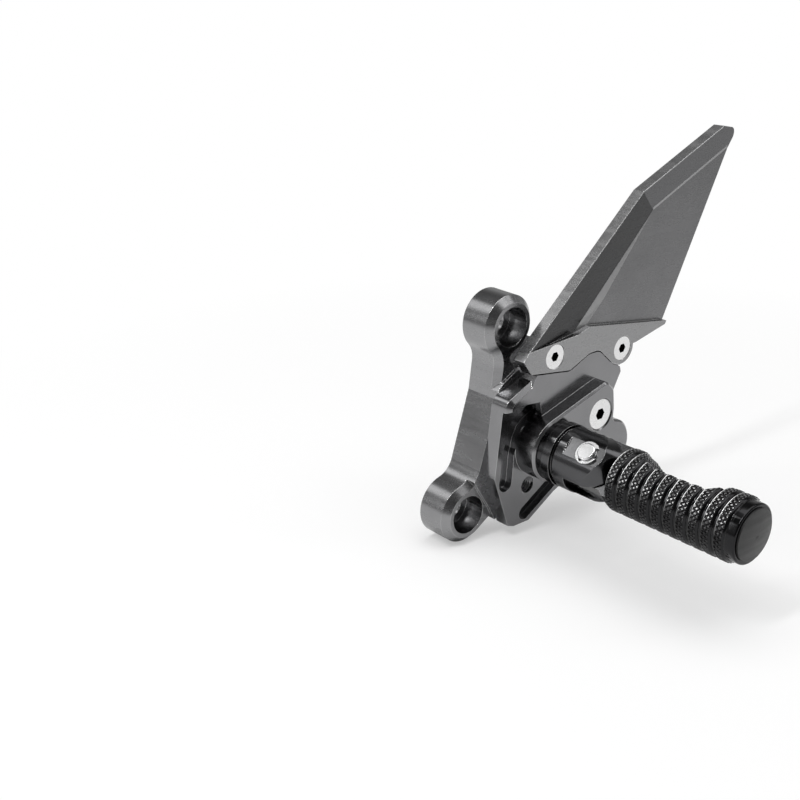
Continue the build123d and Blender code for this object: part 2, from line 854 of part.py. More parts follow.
with BuildPart() as peg_body:
    with BuildSketch(axial_plane):
        with BuildLine():
            Polyline(*grip_outline, close=True)
        make_face()
    revolve(axis=Axis((peg_x, 0, peg_z), (0, 1, 0)))
    fillet(peg_body.faces().sort_by(Axis.Y)[0].edges(), end_ring_fillet)
    # Scoop across the top, with the grooves carried over it
    with BuildSketch(footrest_plane):
        with BuildLine():
            ThreePointArc(
                (-scoop_start, scoop_height(scoop_start)),
                (-(scoop_start + scoop_finish) / 2, grip_radius - scoop_depth),
                (-scoop_finish, scoop_height(scoop_finish)),
            )
            Polyline(
                (-scoop_finish, scoop_height(scoop_finish)),
                (-scoop_finish - scoop_overshoot * scoop_exit, 2 * grip_radius),
                (-scoop_start + scoop_overshoot * scoop_entry, 2 * grip_radius),
                (-scoop_start, scoop_height(scoop_start)),
            )
        make_face()
    extrude(amount=2 * grip_radius, both=True, mode=Mode.SUBTRACT)
    for base in [base for base in ring_bases if scoop_height(base) < grip_radius]:
        with BuildSketch(footrest_plane):
            with BuildLine():
                Polyline(*scoop_groove(base), close=True)
            make_face()
        extrude(amount=2 * grip_radius, both=True, mode=Mode.SUBTRACT)
    add(tongue.part)
    with BuildSketch(hinge_plane):
        with Locations((0, pin_height)):
            Circle(bush_radius + press_gap)
    extrude(amount=2 * tongue_half, both=True, mode=Mode.SUBTRACT)
    # Pocket for the spring, its leg's slot and the relief for its other leg
    with BuildSketch(hinge_level(tongue_half)):
        with Locations((0, pin_height)):
            Circle(spring_coil_radius + spring_wire / 2 + spring_room)
    extrude(amount=-spring_depth, mode=Mode.SUBTRACT)
    with BuildSketch(hinge_level(tongue_half)):
        with Locations((-spring_coil_radius, pin_height + spring_leg / 2)):
            Rectangle(spring_wire + spring_room, spring_leg + 2 * spring_room)
    extrude(amount=-spring_depth - spring_room, mode=Mode.SUBTRACT)
    with BuildSketch(hinge_level(tongue_half)):
        with Locations((0, pin_height - tongue_radius)):
            Rectangle(3 * tongue_radius, 2 * tongue_radius)
    extrude(amount=-spring_wire - spring_room, mode=Mode.SUBTRACT)
    # Bore for the end cap
    with BuildSketch(level(peg_end)):
        with Locations(peg_point):
            Circle(cap_spigot_radius + running_fit)
    extrude(amount=-cap_spigot_length - seat_gap, mode=Mode.SUBTRACT)

peg_body.part.label = "peg_body"
export_step(peg_body.part, "parts/peg_body.step")

# End cap
with BuildPart() as end_cap:
    with BuildSketch(axial_plane):
        with BuildLine():
            Polyline(
                (0, -peg_end - cap_stand - cap_dome),
                (0, -peg_end + cap_spigot_length),
                (cap_spigot_radius, -peg_end + cap_spigot_length),
                (cap_spigot_radius, -peg_end),
                (cap_radius, -peg_end),
                (cap_radius, -peg_end - cap_stand),
            )
            RadiusArc(
                (cap_radius, -peg_end - cap_stand),
                (0, -peg_end - cap_stand - cap_dome),
                (cap_radius**2 + cap_dome**2) / (2 * cap_dome),
            )
        make_face()
    revolve(axis=Axis((peg_x, 0, peg_z), (0, 1, 0)))

end_cap.part.label = "end_cap"
export_step(end_cap.part, "parts/end_cap.step")

# Bush in the tongue, and the thin washers on its two sides
with BuildPart() as pivot_bush:
    with BuildSketch(hinge_plane):
        with Locations((0, pin_height)):
            Circle(bush_radius)
            Circle(pin_radius + running_fit, mode=Mode.SUBTRACT)
    extrude(amount=tongue_half, both=True)

pivot_bush.part.label = "pivot_bush"
export_step(pivot_bush.part, "parts/pivot_bush.step")

with BuildPart() as thrust_washer_front:
    with BuildSketch(hinge_level(-slot_width / 2)):
        with Locations((0, pin_height)):
            Circle(washer_radius)
            Circle(pin_radius + running_fit, mode=Mode.SUBTRACT)
    extrude(amount=washer_thickness)

thrust_washer_front.part.label = "thrust_washer_front"
export_step(thrust_washer_front.part, "parts/thrust_washer_front.step")

with BuildPart() as thrust_washer_rear:
    with BuildSketch(hinge_level(slot_width / 2)):
        with Locations((0, pin_height)):
            Circle(washer_radius)
            Circle(pin_radius + running_fit, mode=Mode.SUBTRACT)
    extrude(amount=-washer_thickness)

thrust_washer_rear.part.label = "thrust_washer_rear"
export_step(thrust_washer_rear.part, "parts/thrust_washer_rear.step")

# Return spring
spring_base = tongue_half - spring_depth + spring_wire / 2 + seat_gap
spring_plane = Plane(
    origin=hinge_plane.from_local_coords((0, pin_height, spring_base)),
    x_dir=-hinge_plane.x_dir,
    z_dir=hinge_plane.z_dir,
)
with BuildPart() as spring_coil:
    with BuildLine():
        coil = Helix(spring_pitch, spring_pitch * spring_turns, spring_coil_radius)
        Line(coil @ 0 - (coil % 0) * spring_leg, coil @ 0)
        Line(coil @ 1, coil @ 1 + (coil % 1) * (slot_floor - seat_gap))
    with BuildSketch(Plane(origin=coil @ 0, z_dir=coil % 0)):
        Circle(spring_wire / 2)
    sweep()

with BuildPart() as return_spring:
    with Locations(spring_plane.location):
        add(spring_coil.part)

return_spring.part.label = "return_spring"
export_step(return_spring.part, "parts/return_spring.step")
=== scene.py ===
"""Looks of a folding footrest on its adjustable carrier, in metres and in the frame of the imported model."""
import math

import bmesh
import bpy
from mathutils import Matrix, Vector


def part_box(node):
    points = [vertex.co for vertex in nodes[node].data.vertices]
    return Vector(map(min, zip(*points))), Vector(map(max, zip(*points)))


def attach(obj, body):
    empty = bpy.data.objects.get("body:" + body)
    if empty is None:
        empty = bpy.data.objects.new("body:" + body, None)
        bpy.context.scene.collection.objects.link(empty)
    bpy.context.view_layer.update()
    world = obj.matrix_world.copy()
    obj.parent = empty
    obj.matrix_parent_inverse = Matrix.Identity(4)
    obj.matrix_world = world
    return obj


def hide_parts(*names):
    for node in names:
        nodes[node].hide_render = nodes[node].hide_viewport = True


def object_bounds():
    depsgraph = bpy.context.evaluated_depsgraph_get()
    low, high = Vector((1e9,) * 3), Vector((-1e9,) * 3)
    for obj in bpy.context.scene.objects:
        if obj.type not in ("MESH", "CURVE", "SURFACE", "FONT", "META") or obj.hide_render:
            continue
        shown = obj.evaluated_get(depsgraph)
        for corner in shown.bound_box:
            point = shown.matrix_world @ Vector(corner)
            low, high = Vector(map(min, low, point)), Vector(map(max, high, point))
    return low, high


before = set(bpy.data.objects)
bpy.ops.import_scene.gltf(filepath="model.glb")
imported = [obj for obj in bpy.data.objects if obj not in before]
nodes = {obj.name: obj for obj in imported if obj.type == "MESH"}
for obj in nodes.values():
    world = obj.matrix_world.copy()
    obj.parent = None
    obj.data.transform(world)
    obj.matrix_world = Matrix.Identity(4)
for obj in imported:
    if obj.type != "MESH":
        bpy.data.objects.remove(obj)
cad_low, cad_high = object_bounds()

MM = 0.001

# Places and sizes that the solids give
peg_low, peg_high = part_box("peg_body")
cap_low, cap_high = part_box("end_cap")
peg_axis_x = (cap_low[0] + cap_high[0]) / 2
peg_axis_z = (cap_low[2] + cap_high[2]) / 2
grip_radius = (peg_high[0] - peg_low[0]) / 2

# Grip rings, counted outboard from the fork
RING_COUNT = 10
RING_PITCH = 6.0 * MM
RING_GROOVE = 1.0 * MM
RING_CHAMFER = 0.65 * MM
GRIP_START = 74.6 * MM

# Scoop of the grip, and its turn to the rear round the grip's axis
SCOOP_LEAD = 5.0 * MM
SCOOP_ENTRY = 9.0 * MM
SCOOP_FLOOR = 29.0 * MM
SCOOP_EXIT = 7.0 * MM
SCOOP_DEPTH = 6.95 * MM
SCOOP_DIP = 0.6 * MM
SCOOP_TURN = Matrix.Rotation(math.radians(41.0), 3, "Y")
WELD = 0.0005 * MM

# Knurl and rims on the rings
KNURL_HEIGHT = 0.38 * MM
KNURL_FOOT = 0.08 * MM
KNURL_COLUMNS = (-1, 0, 1)
KNURL_STRIDE = 1.35 * MM
KNURL_AROUND = 42
KNURL_FLAT = 0.45
KNURL_OUTLINE = ((-1.0, 0.0), (0.0, -1.0), (1.0, 0.0), (0.0, 1.0))
RIM_RADIUS = 0.24 * MM
RIM_AROUND = 96
RIM_SIDES = 8

# Heel guard, as places across and up, and its levels from the mounting face
HEEL = Vector((22.2, 74.6)) * MM
KNEE = Vector((92.2, 134.0)) * MM
TIP = Vector((148.0, 156.2)) * MM
KNEE_CREASE = Vector((103.3, 123.5)) * MM
MIDDLE_CREASE = Vector((72.3, 87.7)) * MM
LOW_CREASE = Vector((61.5, 77.9)) * MM
LOW_END = Vector((53.6, 75.7)) * MM
CREASE_END = Vector((156.0, 144.9)) * MM
GUARD_TOP = 28.5 * MM
WEB_DEPTH = 2.5 * MM
TAB_LEVEL = -GUARD_TOP + 1.0 * MM

# Trim of the heel guard
TRIM_LIFT = 0.06 * MM
TRIM_DEPTH = 0.3 * MM
EDGE_WIDTH = 0.4 * MM
CREASE_WIDTH = 1.3 * MM
CREASE_DEPTH = 0.9 * MM
TOOTH_COUNT = 44
TOOTH_FIRST = 2
TOOTH_REACH = 0.55 * MM
TOOTH_DEPTH = 1.0 * MM

# Thread in the lever's pivot hole, with its profile as shares of the depth and the pitch
THREAD_CENTRE = Vector((28.7, 8.8)) * MM
THREAD_RADIUS = 4.0 * MM
THREAD_DEPTH = 0.45 * MM
THREAD_PITCH = 1.25 * MM
THREAD_TOP = 24.6 * MM
THREAD_LEAD = 0.5
THREAD_TURNS = 5
THREAD_STEPS = 32
THREAD_PROFILE = ((0, 0.45), (1, 0.08), (1, -0.08), (0, -0.45))


def bevel_slope(start, end):
    """The way inward across one of the guard's bevels, and how fast the bevel falls."""
    run = (end - start).normalized()
    inward = Vector((run.y, -run.x))
    return inward, WEB_DEPTH / inward.dot(KNEE_CREASE - start)


def bevel_normal(start, end):
    """The way that one of the guard's bevels faces."""
    inward, fall = bevel_slope(start, end)
    return Vector((inward.x * fall, -1.0, inward.y * fall)).normalized()


# Nodes of the materials

# Noises as stretch along the axes, scale, detail and roughness
STREAKS = ((6, 6, 60), 6.0, 4.0, 0.6)
CLOUDS = ((1, 1, 1), 45.0, 3.0, 0.55)
SPECKS = ((1, 1, 1), 900.0, 2.0, 0.55)

STREAK_BAND = (0.45, 0.75)
STREAK_SHARE = 0.35
STREAK_ROUGHNESS = (0.82, 1.25)
GRAIN = 0.02
EDGE_RADIUS = 0.25 * MM
EDGE_BAND = (0.995, 0.93)
EDGE_SAMPLES = 12
# Least share of the painted edge highlight, where the cloud noise is low
EDGE_SHEEN_LEAST = 0.55
# Band of the faces' upward tilt over which light is painted on their tops
UPWARD_BAND = (0.1, 0.6)
FACING_BAND = (0.9992, 0.9998)
SOCKET_RIM = 0.02 * MM
SOCKET_SHARE = 0.45


def grey(level):
    return (level, level, level)


# Painted shade inside the screws' sockets
SOCKET_SHADE = grey(0.02)


def material(name):
    """A new node material, its node tree and its shader."""
    made = bpy.data.materials.new(name)
    made.use_nodes = True
    tree = made.node_tree
    shader = tree.nodes["Principled BSDF"]
    return made, tree, shader


def link(tree, source, target):
    tree.links.new(source, target)


def node(tree, kind, **values):
    """A node with some of its sockets set by name."""
    made = tree.nodes.new(kind)
    for key, value in values.items():
        made.inputs[key.replace("_", " ")].default_value = value
    return made


def noise(tree, stretch, scale, detail, roughness):
    """Noise that is fixed to the object itself."""
    place = tree.nodes.new("ShaderNodeTexCoord")
    mapping = node(tree, "ShaderNodeMapping", Scale=stretch)
    link(tree, place.outputs["Object"], mapping.inputs["Vector"])
    made = node(tree, "ShaderNodeTexNoise", Scale=scale, Detail=detail, Roughness=roughness)
    link(tree, mapping.outputs["Vector"], made.inputs["Vector"])
    return made.outputs["Fac"]


def spread(tree, value, low, high, source=(0.3, 0.7)):
    """A value brought from one range to another."""
    made = node(
        tree,
        "ShaderNodeMapRange",
        From_Min=source[0],
        From_Max=source[1],
        To_Min=low,
        To_Max=high,
    )
    link(tree, value, made.inputs["Value"])
    return made.outputs["Result"]


def arithmetic(tree, operation, first, second):
    """The result of a sum on two values or sockets."""
    made = tree.nodes.new("ShaderNodeMath")
    made.operation = operation
    for socket, value in zip(made.inputs, (first, second)):
        if isinstance(value, (int, float)):
            socket.default_value = value
        else:
            link(tree, value, socket)
    return made.outputs["Value"]


def mixed(tree, factor, first, second):
    """A colour between two others."""
    made = tree.nodes.new("ShaderNodeMix")
    made.data_type = "RGBA"
    for socket, value in zip((made.inputs[0], made.inputs[6], made.inputs[7]), (factor, first, second)):
        if hasattr(value, "is_linked"):
            link(tree, value, socket)
        else:
            socket.default_value = (*value[:3], 1.0)
    return made.outputs[2]


def dot(tree, first, second):
    """How far two directions agree, the second a socket or plain numbers."""
    made = tree.nodes.new("ShaderNodeVectorMath")
    made.operation = "DOT_PRODUCT"
    link(tree, first, made.inputs[0])
    if hasattr(second, "is_linked"):
        link(tree, second, made.inputs[1])
    else:
        made.inputs[1].default_value = second
    return made.outputs["Value"]


def face_normal(tree):
    return tree.nodes.new("ShaderNodeNewGeometry").outputs["Normal"]


def parts_of(tree, vector):
    """The three parts of a place or direction, by the names X, Y and Z."""
    split = tree.nodes.new("ShaderNodeSeparateXYZ")
    link(tree, vector, split.inputs["Vector"])
    return split.outputs


def edge_mask(tree):
    """One along the solid's edges and none on its faces, and the normal rounded over the edges."""
    bevel = node(tree, "ShaderNodeBevel", Radius=EDGE_RADIUS)
    bevel.samples = EDGE_SAMPLES
    rounded = bevel.outputs["Normal"]
    return spread(tree, dot(tree, rounded, face_normal(tree)), 0.0, 1.0, EDGE_BAND), rounded


def socket_mask(tree, centre, radius):
    """One inside a screw's socket, which is painted dark as shade, and none outside it."""
    place = tree.nodes.new("ShaderNodeTexCoord")
    flat = node(tree, "ShaderNodeMapping", Location=(-centre[0], 0, -centre[2]))
    link(tree, place.outputs["Object"], flat.inputs["Vector"])
    parts = parts_of(tree, flat.outputs["Vector"])
    across = arithmetic(tree, "MULTIPLY", parts["X"], parts["X"])
    upward = arithmetic(tree, "MULTIPLY", parts["Z"], parts["Z"])
    near = arithmetic(tree, "LESS_THAN", arithmetic(tree, "ADD", across, upward), radius**2)
    deep = arithmetic(tree, "GREATER_THAN", parts["Y"], centre[1] + SOCKET_RIM)
    return arithmetic(tree, "MULTIPLY", near, deep)


def outboard_of(tree, level):
    """One on what stands outboard of a level and none on the rest."""
    place = tree.nodes.new("ShaderNodeTexCoord")
    return arithmetic(tree, "LESS_THAN", parts_of(tree, place.outputs["Object"])["Y"], level)


def looking_up(tree):
    """One on faces that look up and none on those that look down."""
    return spread(tree, parts_of(tree, face_normal(tree))["Z"], 0.0, 1.0, UPWARD_BAND)


def facing(tree, direction):
    """One on faces that look in a direction and none on the others."""
    agreement = dot(tree, face_normal(tree), Vector(direction).normalized())
    return spread(tree, agreement, 0.0, 1.0, FACING_BAND)


def socket_of(name):
    """The middle of a screw's head and a radius round its socket."""
    low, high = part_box(name)
    reach = (high[0] - low[0]) / 2
    return ((low[0] + high[0]) / 2, low[1], (low[2] + high[2]) / 2), reach * SOCKET_SHARE


def metal(
    name,
    colour,
    roughness,
    variation=0.07,
    edge_sheen_colour=None,
    metallic=1.0,
    sockets=(),
    faces=(),
    levels=None,
    upward=None,
):
    """Machined surface: tool streaks, soft cloudy tone, grain in the gloss, and rounded edges with a painted
    highlight; where asked, it also paints light on raised and upward faces, tones on faces that look one way,
    and shade in screw sockets.
    """
    made, tree, shader = material(name)
    shader.inputs["Metallic"].default_value = metallic
    streak = noise(tree, *STREAKS)
    cloud = noise(tree, *CLOUDS)
    speck = noise(tree, *SPECKS)
    darker = [channel * (1 - variation) for channel in colour]
    lighter = [channel * (1 + variation) for channel in colour]
    tone = mixed(tree, spread(tree, cloud, 0.0, 1.0), darker, lighter)
    tone = mixed(tree, spread(tree, streak, 0.0, STREAK_SHARE, STREAK_BAND), tone, lighter)
    # What stands outboard of a level takes another colour: painted light on the guard's raised tab over its
    # recessed web
    if levels:
        tone = mixed(tree, outboard_of(tree, levels[0]), tone, levels[1])
    # Faces that look up take a lighter colour: painted light from above
    if upward:
        tone = mixed(tree, looking_up(tree), tone, upward)
    # Faces that look one way take a painted tone: painted shade on the guard's bevels, painted light on the
    # fork's flats
    for direction, painted_tone in faces:
        tone = mixed(tree, facing(tree, direction), tone, painted_tone)
    edge, rounded = edge_mask(tree)
    # Painted highlight along the rounded edges, mottled by the cloud noise
    if edge_sheen_colour:
        edge_sheen = arithmetic(tree, "MULTIPLY", edge, spread(tree, cloud, EDGE_SHEEN_LEAST, 1.0))
        tone = mixed(tree, edge_sheen, tone, edge_sheen_colour)
    # Painted shade in the screws' sockets
    for centre, radius in sockets:
        tone = mixed(tree, socket_mask(tree, centre, radius), tone, SOCKET_SHADE)
    link(tree, tone, shader.inputs["Base Color"])
    smoother, rougher = (roughness * share for share in STREAK_ROUGHNESS)
    rough = arithmetic(
        tree,
        "ADD",
        spread(tree, streak, smoother, rougher),
        spread(tree, speck, -GRAIN, GRAIN),
    )
    link(tree, rough, shader.inputs["Roughness"])
    link(tree, rounded, shader.inputs["Normal"])
    return made


def dress(name, made):
    """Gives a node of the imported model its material."""
    slots = nodes[name].data.materials
    if not slots:
        slots.append(made)
    for index in range(len(slots)):
        slots[index] = made


# Colours
BRACKET = (0.27, 0.27, 0.275)
CARRIER = (0.23, 0.23, 0.235)
GUARD = (0.17, 0.17, 0.173)
# The raised tab is painted lighter than the recessed web beside it, as painted shade in the recess
GUARD_TAB_LIT = (0.28, 0.28, 0.283)
# Painted light on the guard's faces that look up
GUARD_LIT_TOPS = (0.48, 0.48, 0.485)
# Painted shade on the guard's long bevel and, lighter, on its short bevel
BEVEL_PAINTED_SHADE = (0.042, 0.042, 0.043)
BEVEL_PAINTED_HALF_SHADE = (0.11, 0.11, 0.113)
# Painted highlight on the flats along the guard's creases
CREASE_HIGHLIGHT = (0.3, 0.3, 0.303)
# Painted highlight on the strip along the guard's front edge
LINE_HIGHLIGHT = (0.5, 0.5, 0.505)
COLLAR = (0.055, 0.055, 0.057)
FORK = (0.085, 0.085, 0.088)
# Painted light on the flats of the fork's ears and of the tongue
EAR_FLAT_PAINTED_LIGHT = (0.2, 0.2, 0.204)
GRIP = (0.027, 0.027, 0.028)
RIM = grey(0.05)
# Painted light on the tops of the ring rims
RIM_LIT = grey(0.85)
CROWN = grey(0.035)
# Painted highlight on the knurl crowns that look up
CROWN_LIT = grey(0.38)
STEEL = grey(0.78)
PIN = (0.72, 0.72, 0.725)
SPRING = (0.4, 0.4, 0.41)
BRASS = (0.55, 0.42, 0.2)
WASHER = grey(0.08)
CAP = grey(0.014)

# The way that the flats of the fork and the tongue face
PIN_AXIS = (-0.6691, 0.0, 0.7431)

HEAD_SCREWS = ["guard_screw_front", "guard_screw_rear", "carrier_screw"]

bracket_metal = metal("bracket_metal", BRACKET, 0.24, edge_sheen_colour=grey(0.75))
carrier_metal = metal("carrier_metal", CARRIER, 0.2, edge_sheen_colour=grey(0.6))
guard_metal = metal(
    "guard_metal",
    GUARD,
    0.26,
    edge_sheen_colour=grey(0.85),
    faces=[(bevel_normal(HEEL, KNEE), BEVEL_PAINTED_SHADE), (bevel_normal(KNEE, TIP), BEVEL_PAINTED_HALF_SHADE)],
    levels=(TAB_LEVEL, GUARD_TAB_LIT),
    upward=GUARD_LIT_TOPS,
)
collar_metal = metal("collar_metal", COLLAR, 0.14, edge_sheen_colour=grey(0.4))
fork_metal = metal("fork_metal", FORK, 0.16, edge_sheen_colour=grey(0.4), faces=[(PIN_AXIS, EAR_FLAT_PAINTED_LIGHT)])
peg_metal = metal("peg_metal", GRIP, 0.13, variation=0.05, edge_sheen_colour=grey(0.1))
body_metal = metal(
    "body_metal", GRIP, 0.13, variation=0.05, edge_sheen_colour=grey(0.1), faces=[(PIN_AXIS, EAR_FLAT_PAINTED_LIGHT)]
)
crease_highlight_metal = metal("crease_highlight_metal", CREASE_HIGHLIGHT, 0.28, variation=0.05)
rim_metal = metal("rim_metal", RIM, 0.3, variation=0.05, upward=RIM_LIT)
# The knurl crowns, with painted highlight on those that look up
crown_metal = metal("crown_metal", CROWN, 0.16, variation=0.05, upward=CROWN_LIT)
line_highlight_metal = metal("line_highlight_metal", LINE_HIGHLIGHT, 0.25, variation=0.05)
thread_metal = metal("thread_metal", CARRIER, 0.3, variation=0.05)
screw_steel = metal(
    "screw_steel",
    STEEL,
    0.24,
    variation=0.04,
    edge_sheen_colour=grey(0.9),
    sockets=[socket_of(name) for name in HEAD_SCREWS],
)
pin_steel = metal("pin_steel", PIN, 0.2, variation=0.03, edge_sheen_colour=grey(0.9))
spring_steel = metal("spring_steel", SPRING, 0.3)
bush_brass = metal("bush_brass", BRASS, 0.3)
washer_plastic = metal("washer_plastic", WASHER, 0.5, metallic=0.0)
cap_plastic = metal("cap_plastic", CAP, 0.42, metallic=0.0)

for made, names in [
    (bracket_metal, ["frame_bracket"]),
    (carrier_metal, ["carrier_plate"]),
    (guard_metal, ["heel_guard"]),
    (collar_metal, ["mount_collar"]),
    (fork_metal, ["peg_mount"]),
    (peg_metal, ["peg_body"]),
    (screw_steel, [*HEAD_SCREWS, "peg_mount_bolt", "peg_mount_washer"]),
    (pin_steel, ["hinge_pin", "hinge_clip", "clocking_pin"]),
    (spring_steel, ["return_spring"]),
    (bush_brass, ["pivot_bush"]),
    (washer_plastic, ["thrust_washer_front", "thrust_washer_rear"]),
    (cap_plastic, ["end_cap"]),
]:
    for name in names:
        dress(name, made)


# Making of the pieces

def new_object(mesh, name, finish):
    """An object in the scene from a mesh, which is freed."""
    data = bpy.data.meshes.new(name)
    mesh.to_mesh(data)
    mesh.free()
    made = bpy.data.objects.new(name, data)
    bpy.context.scene.collection.objects.link(made)
    data.materials.append(finish)
    return made


def grip_piece(mesh, name, finish):
    """A piece on the grip, made from a mesh in the grip's own frame."""
    bmesh.ops.recalc_face_normals(mesh, faces=mesh.faces)
    bmesh.ops.translate(mesh, verts=mesh.verts, vec=(peg_axis_x, 0, peg_axis_z))
    made = new_object(mesh, name, finish)
    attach(made, "footpeg")
    return made


def fixed_piece(mesh, name, finish):
    """A piece on the bracket, made from a mesh in the object's frame."""
    bmesh.ops.recalc_face_normals(mesh, faces=mesh.faces)
    made = new_object(mesh, name, finish)
    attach(made, "bracket")
    return made


def skin(mesh, rows, closed=False, smooth=False):
    """Faces between each ring of points and the next, and from the last to the first where closed."""
    next_rows = rows[1:] + rows[:1] if closed else rows[1:]
    for here, following in zip(rows, next_rows):
        for side in range(len(here)):
            beside = (side + 1) % len(here)
            face = mesh.faces.new((here[side], following[side], following[beside], here[beside]))
            face.smooth = smooth


def plate(mesh, corners, depth):
    """A thin closed plate under a flat outline."""
    top = [mesh.verts.new(corner) for corner in corners]
    bottom = [mesh.verts.new(corner + Vector((0, depth, 0))) for corner in corners]
    mesh.faces.new(top)
    mesh.faces.new(bottom[::-1])
    for index in range(len(top)):
        following = (index + 1) % len(top)
        mesh.faces.new((top[index], bottom[index], bottom[following], top[following]))


# The grip

def turned_body():
    """The footrest with its scoop turned to the rear, as the photograph has it, on the same fork tongue."""
    grip_level = -(GRIP_START + RING_CHAMFER)
    mesh = bmesh.new()
    for outboard in (False, True):
        half = bmesh.new()
        half.from_mesh(nodes["peg_body"].data)
        bmesh.ops.remove_doubles(half, verts=half.verts, dist=WELD)
        cut = bmesh.ops.bisect_plane(
            half,
            geom=half.verts[:] + half.edges[:] + half.faces[:],
            plane_co=(0, grip_level, 0),
            plane_no=(0, 1, 0),
            clear_outer=outboard,
            clear_inner=not outboard,
        )
        rim = [item for item in cut["geom_cut"] if isinstance(item, bmesh.types.BMEdge)]
        bmesh.ops.edgenet_fill(half, edges=rim)
        if outboard:
            centre = (peg_axis_x, 0, peg_axis_z)
            bmesh.ops.rotate(half, verts=half.verts, cent=centre, matrix=SCOOP_TURN)
        part = bpy.data.meshes.new("half")
        half.to_mesh(part)
        half.free()
        mesh.from_mesh(part)
        bpy.data.meshes.remove(part)
    made = new_object(mesh, "grip_body", body_metal)
    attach(made, "footpeg")
    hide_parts("peg_body")


def scoop_height(height):
    """Distance of the scooped surface from the footrest's axis, at a height."""
    start = GRIP_START + SCOOP_LEAD + SCOOP_ENTRY
    finish = start + SCOOP_FLOOR
    ends = grip_radius - SCOOP_DEPTH + SCOOP_DIP
    climb = SCOOP_DEPTH - SCOOP_DIP
    if height < start:
        return ends + climb * (start - height) / SCOOP_ENTRY
    if height > finish:
        return ends + climb * (height - finish) / SCOOP_EXIT
    middle = (start + finish) / 2
    return ends - SCOOP_DIP * (1 - ((height - middle) / (middle - start)) ** 2)


def grip_point(share, height):
    """The grip's skin at a share of its outline, counted from the scoop: a point and the outward normal."""
    top = scoop_height(height)
    if top >= grip_radius:
        angle = 2 * math.pi * share
        normal = Vector((math.sin(angle), 0, math.cos(angle)))
        return normal * grip_radius, normal
    half = math.sqrt(grip_radius**2 - top**2)
    opening = math.atan2(half, top)
    arc = grip_radius * 2 * (math.pi - opening)
    along = share * (arc + 2 * half)
    if along < half:
        return Vector((along, 0, top)), Vector((0, 0, 1))
    if along > arc + half:
        return Vector((along - arc - 2 * half, 0, top)), Vector((0, 0, 1))
    angle = opening + (along - half) / grip_radius
    normal = Vector((math.sin(angle), 0, math.cos(angle)))
    return normal * grip_radius, normal


def on_grip(share, height):
    """The skin's point and outward normal in the grip's own frame, whose axis runs outboard."""
    point, normal = grip_point(share % 1, height)
    return SCOOP_TURN @ point + Vector((0, -height, 0)), SCOOP_TURN @ normal


def diamond(offset, limit):
    """Corners of a knurl point, in half steps round the grip and in height, cut off at the ring's ends."""
    corners = []
    for across, along in KNURL_OUTLINE:
        height = offset + along * KNURL_STRIDE
        if abs(height) <= limit:
            corners.append((across, height))
            continue
        edge = math.copysign(limit, height)
        width = along * (1 - abs(edge - offset) / KNURL_STRIDE)
        corners += [(width, edge), (-width, edge)]
    return corners


def knurl():
    """Diamond points in crossed rows on every ring of the grip."""
    mesh = bmesh.new()
    band = RING_PITCH - RING_GROOVE - 2 * RING_CHAMFER
    half_step = 0.5 / KNURL_AROUND
    for ring in range(RING_COUNT):
        middle = GRIP_START + ring * RING_PITCH + RING_CHAMFER + band / 2
        for column in KNURL_COLUMNS:
            offset = column * KNURL_STRIDE
            corners = diamond(offset, band / 2)
            for step in range(KNURL_AROUND):
                share = (step + 0.5 * (column % 2)) / KNURL_AROUND
                centre, outward = on_grip(share, middle + offset)
                centre = centre + outward * KNURL_HEIGHT
                rim, crown = [], []
                for across, height in corners:
                    point, normal = on_grip(share + across * half_step, middle + height)
                    rim.append(mesh.verts.new(point - normal * KNURL_FOOT))
                    crown.append(mesh.verts.new(centre.lerp(point + normal * KNURL_HEIGHT, KNURL_FLAT)))
                for index in range(len(rim)):
                    following = (index + 1) % len(rim)
                    mesh.faces.new((rim[index], rim[following], crown[following], crown[index]))
                mesh.faces.new(crown).material_index = 1
    made = grip_piece(mesh, "grip_knurl", peg_metal)
    made.data.materials.append(crown_metal)


def ring_rims():
    """A narrow rounded rim at the inboard end of every ring's knurl, whose upward faces carry painted light.
    """
    mesh = bmesh.new()
    for ring in range(RING_COUNT):
        height = GRIP_START + ring * RING_PITCH + RING_CHAMFER
        loops = []
        for step in range(RIM_AROUND):
            point, normal = on_grip(step / RIM_AROUND, height)
            loop = []
            for side in range(RIM_SIDES):
                angle = 2 * math.pi * side / RIM_SIDES
                away = normal * math.cos(angle) + Vector((0, math.sin(angle), 0))
                loop.append(mesh.verts.new(point + away * RIM_RADIUS))
            loops.append(loop)
        skin(mesh, loops, closed=True, smooth=True)
    grip_piece(mesh, "grip_ring_rims", rim_metal)


turned_body()
ring_rims()
knurl()


# The heel guard's trim and the thread

def on_bevel(point, start, end):
    """A place across and up, laid just over one of the guard's bevels."""
    inward, fall = bevel_slope(start, end)
    return Vector((point.x, -GUARD_TOP + inward.dot(point - start) * fall - TRIM_LIFT, point.y))


def guard_edge():
    """A painted highlight line along the guard's front edge, from the heel over the knee to the tip."""
    mesh = bmesh.new()
    for start, end in [(HEEL, KNEE), (KNEE, TIP)]:
        inward = bevel_slope(start, end)[0] * EDGE_WIDTH
        corners = [start, end, end + inward, start + inward]
        plate(mesh, [on_bevel(corner, start, end) for corner in corners], TRIM_DEPTH)
    fixed_piece(mesh, "guard_highlight_line", line_highlight_metal)


